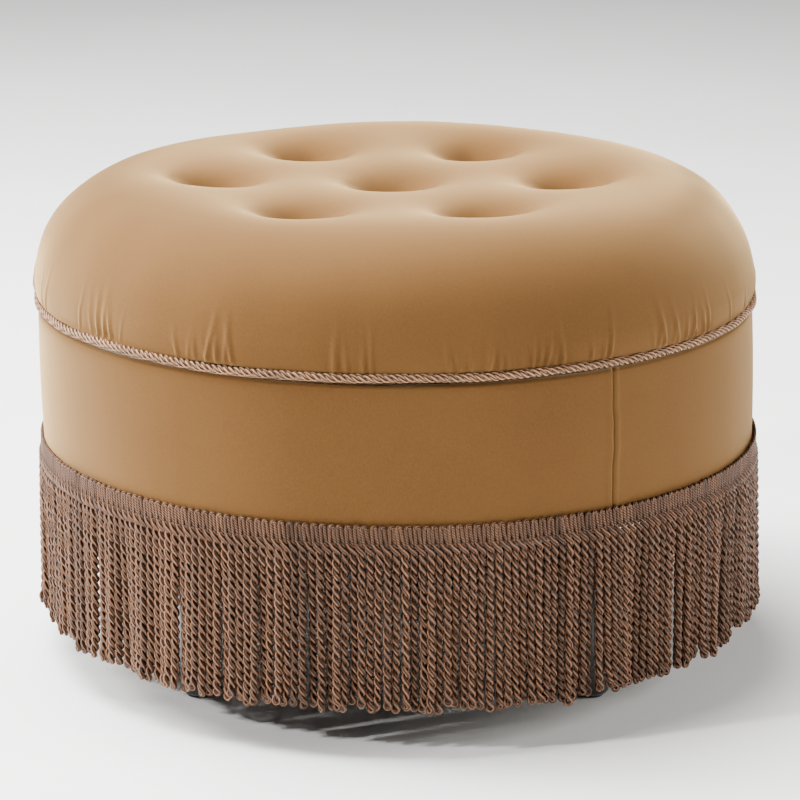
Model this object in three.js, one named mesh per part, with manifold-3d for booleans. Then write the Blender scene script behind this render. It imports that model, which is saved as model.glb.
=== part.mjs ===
// A round storage ottoman: a tufted velvet lid cushion, hinged at the back, on a
// padded drum with a lined storage well, a bullion fringe and four turned legs.
// Millimetres, +Z up. The origin is on the floor under the middle of the drum,
// the front faces -Y and the hinge is at the back, at +Y.

import * as THREE from 'three';
import { mergeVertices } from 'three/addons/utils/BufferGeometryUtils.js';
import Module from 'manifold-3d';

// Driving dimensions
const GAP = 0.3;
const OVERLAP = 1;
const WELD_DISTANCE = 1e-4;
const ROUND_SIDES = 48;
const LEG_SIDES = 20;
const SMALL_SIDES = 10;
const BARREL_SIDES = 16;

const DRUM_RADIUS = 304;
const PARTING_HEIGHT = 304;
const FRAME_UNDERSIDE = 172;
const VELVET = 2;
const WADDING = 3.4;
const WALL = 12;
const RIM_WIDTH = 22;
const RIM_HEIGHT = 12;
const BOTTOM_THICKNESS = 15;
const LINING = 1.5;
const DUST_CLOTH = 0.5;
const DUST_CLOTH_CLEARANCE = 1;

const LID_BOARD = 15;
const LID_LINING = 1.4;
const LID_LINING_RADIUS = 284;
const LID_LINING_SEAM = 1;
const CUSHION_RADIUS = 308.4;
const SHOULDER_HEIGHT = 322;
const SHOULDER_RUN = 117;
const SHOULDER_RISE = 99;
const SHOULDER_POWER = 2.2;
const SHOULDER_STEPS = 6;
const CROWN_DIP = 12;
const CROWN_RINGS = 3;
const GROOVE_RADIUS = 299.6;
const HEM_INSET = 2;
const HEM_DROP = 4;
const HEM_VELVET = 1;
const CORD_RADIUS = 4;
const CORD_HEIGHT = 309;
const CORD_SIDES = 8;

const TUFTS_ROUND = 6;
const TUFT_CENTRE_X = -4;
const TUFT_CENTRE_Y = -12;
const TUFT_CIRCLE = 149;
const TUFT_DEPTH = 38;
const TUFT_SIDES = 12;
const PIT_RADIUS = 12;
const PIT_FLARE = 30;
const PIT_STEPS = 3;
const BUTTON_RADIUS = 10.5;
const BUTTON_THICKNESS = 7;
const BUTTON_ROUNDING = 3;
const TWINE_RADIUS = 1.1;
const KNOT_RADIUS = 3;
const KNOT_HEIGHT = 2.7;

const HEADER_HEIGHT = 20;
const HEADER_THICKNESS = 2.7;
const FRINGE_TIP = 34;
const FRINGE_INNER = 303.2;
const FRINGE_OUTER = 309.4;
const FRINGE_FLUTES = 80;
const FLUTE_DEPTH = 1.6;

const LEG_OFFSET = 163;
const LEG_FOOT_RADIUS = 15;
const LEG_TOP_RADIUS = 20;
const FOOT_ROUNDING = 3;
const GLIDE_RADIUS = 11;
const GLIDE_HEIGHT = 2.5;
const PLATE_RADIUS = 32;
const PLATE_THICKNESS = 3;
const BOLT_RADIUS = 4;
const BOLT_IN_LEG = 38;
const BOLT_IN_PANEL = 10;

const HINGE_LENGTH = 96;
const HINGE_KNUCKLES = 5;
const HINGE_Y = 310.5;
const KNUCKLE_RADIUS = 3;
const PIN_RADIUS = 1.5;
const PIN_HEAD = 1.2;
const LEAF_THICKNESS = 1.5;
const LEAF_INNER_Y = 278;
const LEAF_SCREW_Y = 288;
const LEAF_SCREW_SPACING = 32;
const LEAF_RECESS_REACH = 10;
const SCREW_HEAD_RADIUS = 3.4;
const SCREW_HEAD_HEIGHT = 1;
const SCREW_SINK = 0.1;
const SCREW_HEAD_ROOM = 2;
const SCREW_RADIUS = 1.7;
const LOWER_SCREW_LENGTH = 9;
const UPPER_SCREW_LENGTH = 12;

// Derived dimensions
const PAD_OUTER = DRUM_RADIUS - VELVET - GAP;
const WALL_OUTER = PAD_OUTER - WADDING - GAP;
const WALL_INNER = WALL_OUTER - WALL;
const RIM_INNER = WALL_OUTER - RIM_WIDTH;
const RIM_BOTTOM = PARTING_HEIGHT - RIM_HEIGHT;
const PANEL_TOP = FRAME_UNDERSIDE + BOTTOM_THICKNESS;
const PLATE_TOP = FRAME_UNDERSIDE - GAP;
const PLATE_BOTTOM = PLATE_TOP - PLATE_THICKNESS;
const DUST_TOP = FRAME_UNDERSIDE - GAP;
const BOLT_TOP = FRAME_UNDERSIDE + BOLT_IN_PANEL;
const LEG_TOP = PLATE_BOTTOM - GAP;
const LID_BOTTOM = PARTING_HEIGHT + GAP;
const BOARD_BOTTOM = LID_BOTTOM + LID_LINING + GAP;
const BOARD_TOP = BOARD_BOTTOM + LID_BOARD;
const BOARD_RADIUS = GROOVE_RADIUS - VELVET - 2 * GAP;
const HINGE_Z = PARTING_HEIGHT + GAP;
const LOWER_LEAF_BOTTOM = HINGE_Z - GAP - LEAF_THICKNESS;
const UPPER_LEAF_BOTTOM = HINGE_Z + GAP;
const SCREW_X = [-LEAF_SCREW_SPACING, 0, LEAF_SCREW_SPACING];
const LOWER_SCREW_END = PARTING_HEIGHT - LOWER_SCREW_LENGTH;
const UPPER_SCREW_END = UPPER_LEAF_BOTTOM + UPPER_SCREW_LENGTH;
const KNOT_BOTTOM = BOARD_BOTTOM + GAP;
const FLAT_RADIUS = CUSHION_RADIUS - SHOULDER_RUN;

// Materials
function finish(color, roughness, metalness = 0) {
  return new THREE.MeshStandardMaterial({ color, roughness, metalness });
}

const VELVET_FINISH = finish(0xb98d57, 0.85);
const CORD_FINISH = finish(0xa8806a, 0.8);
const FRINGE_FINISH = finish(0x9f7860, 0.85);
const LINING_FINISH = finish(0x4a4038, 0.9);
const DUST_FINISH = finish(0x1d1c1b, 0.95);
const FOAM_FINISH = finish(0xe6dcb8, 0.95);
const WADDING_FINISH = finish(0xefece2, 0.95);
const PLY_FINISH = finish(0xc8a271, 0.7);
const LEG_FINISH = finish(0x111010, 0.35);
const GLIDE_FINISH = finish(0x2a2a2a, 0.6);
const STEEL_FINISH = finish(0xa9abad, 0.35, 1);
const TWINE_FINISH = finish(0xd9d2bd, 0.9);

// Solids: a geometry becomes a manifold for a cut or a join, and comes back
const wasm = await Module();
wasm.setup();

function toSolid(geometry) {
  const bare = geometry.clone();
  bare.deleteAttribute('normal');
  bare.deleteAttribute('uv');
  const welded = mergeVertices(bare, WELD_DISTANCE);
  const corners = welded.index.array;
  const triangles = [];
  for (let i = 0; i < corners.length; i += 3) {
    const [a, b, c] = [corners[i], corners[i + 1], corners[i + 2]];
    if (a !== b && b !== c && c !== a) triangles.push(a, b, c);
  }
  return new wasm.Manifold(new wasm.Mesh({
    numProp: 3,
    vertProperties: new Float32Array(welded.attributes.position.array),
    triVerts: new Uint32Array(triangles),
  }));
}

function toGeometry(solid) {
  const mesh = solid.getMesh();
  const geometry = new THREE.BufferGeometry();
  geometry.setAttribute('position', new THREE.BufferAttribute(mesh.vertProperties, 3));
  geometry.setIndex(new THREE.BufferAttribute(mesh.triVerts, 1));
  geometry.computeVertexNormals();
  return geometry;
}

function cut(geometry, ...tools) {
  return toGeometry(tools.reduce((solid, tool) => solid.subtract(toSolid(tool)), toSolid(geometry)));
}

function join(...geometries) {
  return toGeometry(geometries.map(toSolid).reduce((sum, solid) => sum.add(solid)));
}

// Shapes about the Z axis, from a profile of [radius, height] that runs up on its outer side
function revolve(profile, sides = ROUND_SIDES) {
  const points = profile.map(([radius, z]) => new THREE.Vector2(radius, z));
  if (profile[0][0] > 0) points.push(points[0].clone());
  return new THREE.LatheGeometry(points, sides).rotateX(Math.PI / 2);
}

function ring(inner, outer, bottom, top, sides) {
  return revolve([[inner, bottom], [outer, bottom], [outer, top], [inner, top]], sides);
}

function disc(radius, bottom, top, sides) {
  return revolve([[0, bottom], [radius, bottom], [radius, top], [0, top]], sides);
}

function block(x0, x1, y0, y1, z0, z1) {
  const box = new THREE.BoxGeometry(x1 - x0, y1 - y0, z1 - z0);
  return box.translate((x0 + x1) / 2, (y0 + y1) / 2, (z0 + z1) / 2);
}

// A round bar along X about the hinge axis
function barrel(radius, x0, x1) {
  const bar = new THREE.CylinderGeometry(radius, radius, x1 - x0, BARREL_SIDES);
  return bar.rotateZ(Math.PI / 2).translate((x0 + x1) / 2, HINGE_Y, HINGE_Z);
}

const root = new THREE.Group();

function add(name, geometry, material) {
  const mesh = new THREE.Mesh(geometry, material);
  mesh.name = name;
  root.add(mesh);
}

// Base: legs, each with a glide under it and a plate and bolt that fix it to the panel
const LEG_PLACES = [
  [-LEG_OFFSET, -LEG_OFFSET],
  [LEG_OFFSET, -LEG_OFFSET],
  [LEG_OFFSET, LEG_OFFSET],
  [-LEG_OFFSET, LEG_OFFSET],
];

function atLegs(geometry) {
  return LEG_PLACES.map(([x, y]) => geometry.clone().translate(x, y, 0));
}

function addLegs() {
  const holeBottom = LEG_TOP - BOLT_IN_LEG - GAP;
  const hole = disc(BOLT_RADIUS + GAP, holeBottom, LEG_TOP + OVERLAP, SMALL_SIDES);
  const leg = cut(revolve([
    [0, GLIDE_HEIGHT + GAP],
    [LEG_FOOT_RADIUS - FOOT_ROUNDING, GLIDE_HEIGHT + GAP],
    [LEG_FOOT_RADIUS, GLIDE_HEIGHT + GAP + FOOT_ROUNDING],
    [LEG_TOP_RADIUS, LEG_TOP],
    [0, LEG_TOP],
  ], LEG_SIDES), hole);
  const glide = disc(GLIDE_RADIUS, 0, GLIDE_HEIGHT, SMALL_SIDES);
  const plate = ring(BOLT_RADIUS + GAP, PLATE_RADIUS, PLATE_BOTTOM, PLATE_TOP, LEG_SIDES);
  const bolt = disc(BOLT_RADIUS, LEG_TOP - BOLT_IN_LEG, BOLT_TOP, SMALL_SIDES);
  atLegs(glide).forEach((copy, i) => add(`glide_${i + 1}`, copy, GLIDE_FINISH));
  atLegs(leg).forEach((copy, i) => add(`leg_${i + 1}`, copy, LEG_FINISH));
  atLegs(plate).forEach((copy, i) => add(`leg_plate_${i + 1}`, copy, STEEL_FINISH));
  atLegs(bolt).forEach((copy, i) => add(`leg_bolt_${i + 1}`, copy, STEEL_FINISH));
}

// Base: the drum, its panel, its lining and its velvet
function addDrum() {
  const boltHoles = atLegs(
    disc(BOLT_RADIUS + GAP, FRAME_UNDERSIDE - OVERLAP, BOLT_TOP + GAP, SMALL_SIDES),
  );
  const plateHole = PLATE_RADIUS + DUST_CLOTH_CLEARANCE;
  const plateHoles = atLegs(
    disc(plateHole, DUST_TOP - DUST_CLOTH - OVERLAP, DUST_TOP + OVERLAP, LEG_SIDES),
  );
  const leafRecess = leafBlock(LOWER_LEAF_BOTTOM - GAP, HINGE_Z + OVERLAP);
  const screwHoles = SCREW_X.map((x) => (
    disc(SCREW_RADIUS + GAP, LOWER_SCREW_END - GAP, PARTING_HEIGHT, SMALL_SIDES)
      .translate(x, LEAF_SCREW_Y, 0)
  ));
  const panel = disc(WALL_INNER - GAP, FRAME_UNDERSIDE, PANEL_TOP);
  const dustCover = disc(WALL_OUTER, DUST_TOP - DUST_CLOTH, DUST_TOP);
  const rim = ring(RIM_INNER, WALL_OUTER, RIM_BOTTOM, PARTING_HEIGHT);
  const pad = ring(WALL_OUTER + GAP, PAD_OUTER, FRAME_UNDERSIDE, PARTING_HEIGHT);
  const band = ring(DRUM_RADIUS - VELVET, DRUM_RADIUS, FRAME_UNDERSIDE, PARTING_HEIGHT);
  const liningOuter = WALL_INNER - GAP;
  const liningInner = liningOuter - LINING;
  const liningBottom = PANEL_TOP + GAP;
  add('bottom_panel', cut(panel, ...boltHoles), PLY_FINISH);
  add('dust_cover', cut(dustCover, ...plateHoles), DUST_FINISH);
  add('drum_wall', ring(WALL_INNER, WALL_OUTER, FRAME_UNDERSIDE, RIM_BOTTOM - GAP), PLY_FINISH);
  add('rim_ring', cut(rim, leafRecess, ...screwHoles), PLY_FINISH);
  add('drum_padding', cut(pad, leafRecess), WADDING_FINISH);
  add('drum_velvet', cut(band, leafRecess), VELVET_FINISH);
  add('well_lining', revolve([
    [0, liningBottom],
    [liningOuter, liningBottom],
    [liningOuter, RIM_BOTTOM - GAP],
    [liningInner, RIM_BOTTOM - GAP],
    [liningInner, liningBottom + LINING],
    [0, liningBottom + LINING],
  ]), LINING_FINISH);
}

// Base: the woven header sewn round the drum's foot, and the fringe that hangs from it
function addFringe() {
  const headerInner = DRUM_RADIUS + GAP;
  const headerTop = FRAME_UNDERSIDE + HEADER_HEIGHT;
  const header = ring(headerInner, headerInner + HEADER_THICKNESS, FRAME_UNDERSIDE, headerTop);
  const outline = [];
  for (let i = 0; i < 2 * FRINGE_FLUTES; i += 1) {
    const radius = FRINGE_OUTER - (i % 2) * FLUTE_DEPTH;
    const angle = (i / FRINGE_FLUTES) * Math.PI;
    outline.push(new THREE.Vector2(radius * Math.cos(angle), radius * Math.sin(angle)));
  }
  const shape = new THREE.Shape(outline);
  shape.holes.push(new THREE.Path().absarc(0, 0, FRINGE_INNER, 0, 2 * Math.PI, true));
  const skirt = new THREE.ExtrudeGeometry(shape, {
    depth: FRAME_UNDERSIDE - GAP - FRINGE_TIP,
    bevelEnabled: false,
    curveSegments: ROUND_SIDES / 2,
  });
  add('fringe_header', header, FRINGE_FINISH);
  add('fringe_skirt', skirt.translate(0, 0, FRINGE_TIP), FRINGE_FINISH);
}

// Hinge: two leaves whose knuckles share one pin, in recesses of the rim and the lid
function leafBlock(z0, z1) {
  const side = HINGE_LENGTH / 2 + GAP;
  return block(-side, side, LEAF_INNER_Y - GAP, HINGE_Y + LEAF_RECESS_REACH, z0, z1);
}

function leaf(bottom, knuckles, headBottom) {
  const plateEnd = HINGE_Y - KNUCKLE_RADIUS - GAP;
  const top = bottom + LEAF_THICKNESS;
  const pitch = HINGE_LENGTH / HINGE_KNUCKLES;
  const plate = block(-HINGE_LENGTH / 2, HINGE_LENGTH / 2, LEAF_INNER_Y, plateEnd, bottom, top);
  const rolled = knuckles.flatMap((i) => {
    const x0 = -HINGE_LENGTH / 2 + i * pitch + (i > 0 ? GAP : 0);
    const x1 = -HINGE_LENGTH / 2 + (i + 1) * pitch;
    const tab = block(x0, x1, plateEnd - OVERLAP, HINGE_Y - PIN_RADIUS - 2 * GAP, bottom, top);
    return [tab, barrel(KNUCKLE_RADIUS, x0, x1)];
  });
  const bore = barrel(PIN_RADIUS + GAP, -HINGE_LENGTH, HINGE_LENGTH);
  const shankHole = disc(SCREW_RADIUS + GAP, bottom - OVERLAP, top + OVERLAP, SMALL_SIDES);
  const headTop = headBottom + SCREW_HEAD_ROOM;
  const headHole = disc(SCREW_HEAD_RADIUS + GAP, headBottom, headTop, SMALL_SIDES);
  const holes = SCREW_X.flatMap((x) => [
    shankHole.clone().translate(x, LEAF_SCREW_Y, 0),
    headHole.clone().translate(x, LEAF_SCREW_Y, 0),
  ]);
  return cut(join(plate, ...rolled), bore, ...holes);
}

function screw(headEnd, headBase, tip) {
  const profile = [[0, headEnd], [SCREW_HEAD_RADIUS, headEnd], [SCREW_HEAD_RADIUS, headBase],
    [SCREW_RADIUS, headBase], [SCREW_RADIUS, tip], [0, tip]];
  return revolve(tip > headEnd ? profile : profile.reverse(), SMALL_SIDES);
}

function addHinge() {
  const half = HINGE_LENGTH / 2;
  const pin = join(
    barrel(PIN_RADIUS, -half - GAP - PIN_HEAD, half + GAP + PIN_HEAD),
    barrel(KNUCKLE_RADIUS, -half - GAP - PIN_HEAD, -half - GAP),
    barrel(KNUCKLE_RADIUS, half + GAP, half + GAP + PIN_HEAD),
  );
  const lowerHead = PARTING_HEIGHT - SCREW_SINK;
  const upperHead = UPPER_LEAF_BOTTOM + SCREW_SINK;
  const lowerSeat = lowerHead - SCREW_HEAD_HEIGHT;
  const upperSeat = upperHead + SCREW_HEAD_HEIGHT;
  const lowerScrew = screw(lowerHead, lowerSeat, LOWER_SCREW_END);
  const upperScrew = screw(upperHead, upperSeat, UPPER_SCREW_END);
  const upperHeadHole = upperSeat + SCREW_SINK - SCREW_HEAD_ROOM;
  add('hinge_leaf_lower', leaf(LOWER_LEAF_BOTTOM, [0, 2, 4], lowerSeat - SCREW_SINK), STEEL_FINISH);
  add('hinge_leaf_upper', leaf(UPPER_LEAF_BOTTOM, [1, 3], upperHeadHole), STEEL_FINISH);
  add('hinge_pin', pin, STEEL_FINISH);
  SCREW_X.forEach((x, i) => {
    add(`hinge_screw_lower_${i + 1}`, lowerScrew.clone().translate(x, LEAF_SCREW_Y, 0), STEEL_FINISH);
    add(`hinge_screw_upper_${i + 1}`, upperScrew.clone().translate(x, LEAF_SCREW_Y, 0), STEEL_FINISH);
  });
}

// Lid: the cushion's outline from its side over the shoulder to its middle, set in by an inset
function crown(inset) {
  const top = (radius) => SHOULDER_RISE - inset - CROWN_DIP * (1 - (radius / CUSHION_RADIUS) ** 2);
  const points = [];
  for (let step = 0; step <= SHOULDER_STEPS; step += 1) {
    const turn = (step / SHOULDER_STEPS) * (Math.PI / 2);
    const radius = FLAT_RADIUS + (SHOULDER_RUN - inset) * Math.cos(turn) ** (2 / SHOULDER_POWER);
    const height = top(radius) * Math.sin(turn) ** (2 / SHOULDER_POWER);
    points.push([radius, SHOULDER_HEIGHT + height]);
  }
  for (let ringsIn = CROWN_RINGS - 1; ringsIn >= 0; ringsIn -= 1) {
    const radius = (FLAT_RADIUS * ringsIn) / CROWN_RINGS;
    points.push([radius, SHOULDER_HEIGHT + top(radius)]);
  }
  return points;
}

// A tuft's pit, wider at the surface than at the button, grown by an inset
function pit({ x, y, surface }, inset) {
  const profile = [[0, surface - TUFT_DEPTH - inset]];
  for (let step = 0; step <= PIT_STEPS; step += 1) {
    const share = step / PIT_STEPS;
    const radius = PIT_RADIUS + inset + PIT_FLARE * share ** 2;
    profile.push([radius, surface - (TUFT_DEPTH + inset) * (1 - share)]);
  }
  profile.push([PIT_RADIUS + inset + PIT_FLARE, surface + TUFT_DEPTH], [0, surface + TUFT_DEPTH]);
  return revolve(profile, TUFT_SIDES).translate(x, y, 0);
}

function tufts() {
  const places = [[TUFT_CENTRE_X, TUFT_CENTRE_Y]];
  for (let i = 0; i < TUFTS_ROUND; i += 1) {
    const angle = (2 * Math.PI * i) / TUFTS_ROUND;
    const x = TUFT_CENTRE_X + TUFT_CIRCLE * Math.cos(angle);
    const y = TUFT_CENTRE_Y + TUFT_CIRCLE * Math.sin(angle);
    places.push([x, y]);
  }
  const middle = SHOULDER_HEIGHT + SHOULDER_RISE - CROWN_DIP;
  return places.map(([x, y]) => {
    const surface = middle + CROWN_DIP * (x * x + y * y) / CUSHION_RADIUS ** 2;
    return { x, y, surface, floor: surface - TUFT_DEPTH };
  });
}

function addLid() {
  const places = tufts();
  const pits = (inset) => places.map((place) => pit(place, inset));
  const posts = (radius, z0, z1) => places.map(({ x, y }) => (
    disc(radius, z0, z1, SMALL_SIDES).translate(x, y, 0)
  ));
  const recessTop = UPPER_LEAF_BOTTOM + LEAF_THICKNESS + GAP;
  const leafRecess = leafBlock(PARTING_HEIGHT - OVERLAP, recessTop);
  const screwHoles = SCREW_X.map((x) => (
    disc(SCREW_RADIUS + GAP, LID_BOTTOM, UPPER_SCREW_END + GAP, SMALL_SIDES)
      .translate(x, LEAF_SCREW_Y, 0)
  ));
  const twineHoles = posts(TWINE_RADIUS + GAP, LID_BOTTOM - OVERLAP, SHOULDER_HEIGHT + SHOULDER_RISE);
  const knotTop = KNOT_BOTTOM + KNOT_HEIGHT;
  const knotHoles = posts(KNOT_RADIUS + GAP, BOARD_BOTTOM - OVERLAP, knotTop + GAP);

  const grooveTop = CORD_HEIGHT + CORD_RADIUS + GAP;
  const hemHeight = SHOULDER_HEIGHT - HEM_DROP;
  const mouth = LID_LINING_RADIUS + LID_LINING_SEAM;
  const outside = cut(revolve([
    [0, LID_BOTTOM],
    [GROOVE_RADIUS, LID_BOTTOM],
    [GROOVE_RADIUS, grooveTop],
    [CUSHION_RADIUS - HEM_INSET, hemHeight],
    ...crown(0),
  ]), ...pits(0));
  const inside = cut(revolve([
    [0, LID_BOTTOM - OVERLAP],
    [mouth, LID_BOTTOM - OVERLAP],
    [mouth, LID_BOTTOM + LID_LINING],
    [GROOVE_RADIUS - VELVET, LID_BOTTOM + LID_LINING],
    [GROOVE_RADIUS - VELVET, grooveTop + HEM_VELVET],
    [CUSHION_RADIUS - VELVET - HEM_INSET, hemHeight + HEM_VELVET],
    ...crown(VELVET),
  ]), ...pits(VELVET));
  const foam = revolve([
    [0, BOARD_TOP + GAP],
    [BOARD_RADIUS + GAP, BOARD_TOP + GAP],
    ...crown(VELVET + GAP),
  ]);
  const cord = new THREE.TorusGeometry(DRUM_RADIUS, CORD_RADIUS, CORD_SIDES, ROUND_SIDES);
  const lining = disc(LID_LINING_RADIUS, LID_BOTTOM, LID_BOTTOM + LID_LINING);
  const board = disc(BOARD_RADIUS, BOARD_BOTTOM, BOARD_TOP);
  add('lid_velvet', cut(outside, inside, leafRecess, ...twineHoles), VELVET_FINISH);
  add('lid_foam', cut(foam, ...pits(VELVET + GAP), ...twineHoles), FOAM_FINISH);
  add('lid_board', cut(board, leafRecess, ...screwHoles, ...twineHoles, ...knotHoles), PLY_FINISH);
  add('lid_lining', cut(lining, leafRecess), LINING_FINISH);
  add('lid_cord', cut(cord.translate(0, 0, CORD_HEIGHT), leafRecess), CORD_FINISH);

  places.forEach(({ x, y, floor }, i) => {
    const seat = floor + GAP;
    const button = revolve([
      [0, seat],
      [BUTTON_RADIUS - BUTTON_ROUNDING, seat],
      [BUTTON_RADIUS, seat + BUTTON_THICKNESS / 2],
      [BUTTON_RADIUS - BUTTON_ROUNDING, seat + BUTTON_THICKNESS - BUTTON_ROUNDING / 2],
      [0, seat + BUTTON_THICKNESS],
    ], TUFT_SIDES);
    const twine = revolve([
      [0, KNOT_BOTTOM],
      [KNOT_RADIUS, KNOT_BOTTOM],
      [KNOT_RADIUS, knotTop],
      [TWINE_RADIUS, knotTop],
      [TWINE_RADIUS, floor],
      [0, floor],
    ], SMALL_SIDES);
    add(`tuft_button_${i + 1}`, button.translate(x, y, 0), VELVET_FINISH);
    add(`tuft_twine_${i + 1}`, twine.translate(x, y, 0), TWINE_FINISH);
  });
}

addLegs();
addDrum();
addFringe();
addHinge();
addLid();

export default root;
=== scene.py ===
"""Looks of a round storage ottoman: tufted velvet lid cushion, twisted rope edging,
velvet drum, bullion fringe and black turned legs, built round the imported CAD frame.

Metres throughout. The front faces -Y and +Z is up. Angles run anticlockwise from +X,
seen from above, so the front is at -90 degrees and a growing angle goes right there.
"""

import math

import bpy
import numpy as np
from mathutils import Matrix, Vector


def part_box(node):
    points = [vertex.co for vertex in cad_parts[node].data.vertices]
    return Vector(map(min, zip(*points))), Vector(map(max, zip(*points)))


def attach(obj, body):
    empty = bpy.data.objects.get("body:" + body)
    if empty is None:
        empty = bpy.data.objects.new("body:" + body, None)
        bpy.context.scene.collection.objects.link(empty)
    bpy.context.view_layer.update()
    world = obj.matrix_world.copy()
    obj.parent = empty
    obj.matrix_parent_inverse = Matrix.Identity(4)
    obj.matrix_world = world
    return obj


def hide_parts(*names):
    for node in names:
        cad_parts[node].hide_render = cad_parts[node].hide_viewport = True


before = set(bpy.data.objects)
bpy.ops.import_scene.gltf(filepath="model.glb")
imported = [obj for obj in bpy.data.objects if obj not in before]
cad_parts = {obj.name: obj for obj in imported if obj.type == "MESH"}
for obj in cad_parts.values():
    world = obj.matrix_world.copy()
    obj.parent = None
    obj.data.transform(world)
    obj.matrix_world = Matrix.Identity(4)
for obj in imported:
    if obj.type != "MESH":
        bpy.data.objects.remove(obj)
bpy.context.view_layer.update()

TAU = 2 * math.pi
FRONT = -math.pi / 2
BACK = math.pi / 2


# Curves


def eased(share):
    """A share, held between 0 and 1, with a soft start and end."""
    share = np.clip(share, 0, 1)
    return share * share * (3 - 2 * share)


def hump(away, width):
    """A bell curve that falls to about a third at its width."""
    return np.exp(-((away / width) ** 2))


def turn_from(place, angles):
    """The turn from a place to each angle, at most half a turn either way."""
    return (angles - place + math.pi) % TAU - math.pi


def round_angles(count):
    """Evenly spaced angles all the way round."""
    return np.arange(count) * TAU / count


def outward_at(angles):
    """Level unit vectors away from the axis."""
    return np.stack([np.cos(angles), np.sin(angles), np.zeros(len(angles))], -1)


def unit(vectors):
    return vectors / np.maximum(np.linalg.norm(vectors, axis=-1, keepdims=True), 1e-9)


def lengths_along(points):
    """How far along a polyline each of its points is."""
    steps = np.linalg.norm(np.diff(points, axis=0), axis=1)
    return np.concatenate([[0], np.cumsum(steps)])


# Meshes


def grid_quads(rows, columns, wrap_rows=False):
    """Quads of a grid of points that closes from its last column to its first."""
    row = np.arange(rows if wrap_rows else rows - 1)
    a, b = np.meshgrid(row, np.arange(columns), indexing="ij")
    a2, b2 = (a + 1) % rows, (b + 1) % columns
    corners = [a * columns + b, a * columns + b2, a2 * columns + b2, a2 * columns + b]
    return np.stack(corners, -1).reshape(-1, 4)


def fan(end, ring, after):
    """Triangles from one end point to every step of a ring."""
    return np.stack([np.full(len(ring), end), ring, after], -1)


def new_object(name, data):
    """A mesh, light or camera as an object in the scene."""
    made = bpy.data.objects.new(name, data)
    bpy.context.scene.collection.objects.link(made)
    return made


def make(name, points, quads, material, body, tris=None, uvs=None, values=None):
    """A smooth-shaded mesh piece that rides on a body. values are named point attributes."""

    def flat(numbers):
        return np.ascontiguousarray(numbers, np.float32).ravel()

    data = bpy.data.meshes.new(name)
    tris = np.zeros((0, 3), int) if tris is None else np.asarray(tris)
    quads = np.asarray(quads).reshape(-1, 4)
    corners = np.concatenate([quads.ravel(), tris.ravel()]).astype(np.int32)
    starts = np.concatenate([np.arange(len(quads)) * 4, len(quads) * 4 + np.arange(len(tris)) * 3])
    data.vertices.add(len(points))
    data.vertices.foreach_set("co", flat(points))
    data.loops.add(len(corners))
    data.loops.foreach_set("vertex_index", corners)
    data.polygons.add(len(starts))
    data.polygons.foreach_set("loop_start", starts.astype(np.int32))
    data.polygons.foreach_set("use_smooth", np.ones(len(starts), bool))
    if uvs is not None:
        data.uv_layers.new(name="UVMap").data.foreach_set("uv", flat(uvs))
    for key, value in (values or {}).items():
        data.attributes.new(key, "FLOAT", "POINT").data.foreach_set("value", flat(value))
    data.update(calc_edges=True)
    data.validate()
    data.materials.append(material)
    piece = new_object(name, data)
    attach(piece, body)
    return piece


def resample(points, spacing):
    """A polyline's points again, spaced along it; spacing is a number or one per point."""
    points = np.asarray(points, float)
    steps = np.linalg.norm(np.diff(points, axis=0), axis=1)
    want = np.broadcast_to(np.asarray(spacing, float), len(points))
    density = steps * 0.5 * (1 / want[1:] + 1 / want[:-1])
    along = np.concatenate([[0], np.cumsum(density)])
    count = max(2, int(round(along[-1])) + 1)
    at = np.linspace(0, along[-1], count)
    return np.stack([np.interp(at, along, points[:, k]) for k in range(2)], -1)


def middle(low, high):
    """The middle of a box, seen from above."""
    return (low.x + high.x) / 2, (low.y + high.y) / 2


def rounded(points, radius, steps=5):
    """A polyline with its inner corners rounded."""
    points = [np.asarray(p, float) for p in points]
    out = [points[0]]
    for before, corner, after in zip(points, points[1:], points[2:]):
        a, b = before - corner, after - corner
        reach = min(radius, 0.45 * np.linalg.norm(a), 0.45 * np.linalg.norm(b))
        start = corner + a / np.linalg.norm(a) * reach
        end = corner + b / np.linalg.norm(b) * reach
        for t in np.linspace(0, 1, steps):
            out.append((1 - t) ** 2 * start + 2 * t * (1 - t) * corner + t * t * end)
    out.append(points[-1])
    return np.array(out)


def spun(radii, heights, angles, centre=(0, 0)):
    """Grid of points, one row per radius and height, one column per angle."""
    x = centre[0] + radii[:, None] * np.cos(angles)
    y = centre[1] + radii[:, None] * np.sin(angles)
    return np.stack([x, y, np.broadcast_to(heights[:, None], x.shape)], -1)


def turned(name, profile, material, body, centre=(0, 0), sides=64, shift=None):
    """A solid of revolution whose profile runs from the axis, up its outer side, to the axis.
    shift moves the grid of points between the profile's two ends."""
    profile = np.asarray(profile, float)
    inner = profile[1:-1]
    points = spun(inner[:, 0], inner[:, 1], round_angles(sides), centre)
    if shift is not None:
        points = shift(points)
    points = points.reshape(-1, 3)
    ends = [(*centre, profile[0][1]), (*centre, profile[-1][1])]
    low, high = len(points), len(points) + 1
    ring = np.arange(sides)
    after = (ring + 1) % sides
    top = (len(inner) - 1) * sides
    tris = np.concatenate([fan(low, after, ring), fan(high, top + ring, top + after)])
    quads = grid_quads(len(inner), sides)
    return make(name, np.concatenate([points, ends]), quads, material, body, tris)


def shell(name, profile, angles, material, body, outward):
    """A ring with a closed section, whose outer side runs upwards; outward moves its points."""
    points = moved_out(spun(profile[:, 0], profile[:, 1], angles), outward)
    quads = grid_quads(len(profile), len(angles), wrap_rows=True)
    return make(name, points.reshape(-1, 3), quads, material, body)


def moved_out(points, outward, upward=0.0):
    """Points moved away from the vertical axis, and up."""
    out = points.copy()
    out[..., :2] += unit(points[..., :2]) * np.broadcast_to(outward, points.shape[:2])[..., None]
    out[..., 2] += upward
    return out


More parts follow.
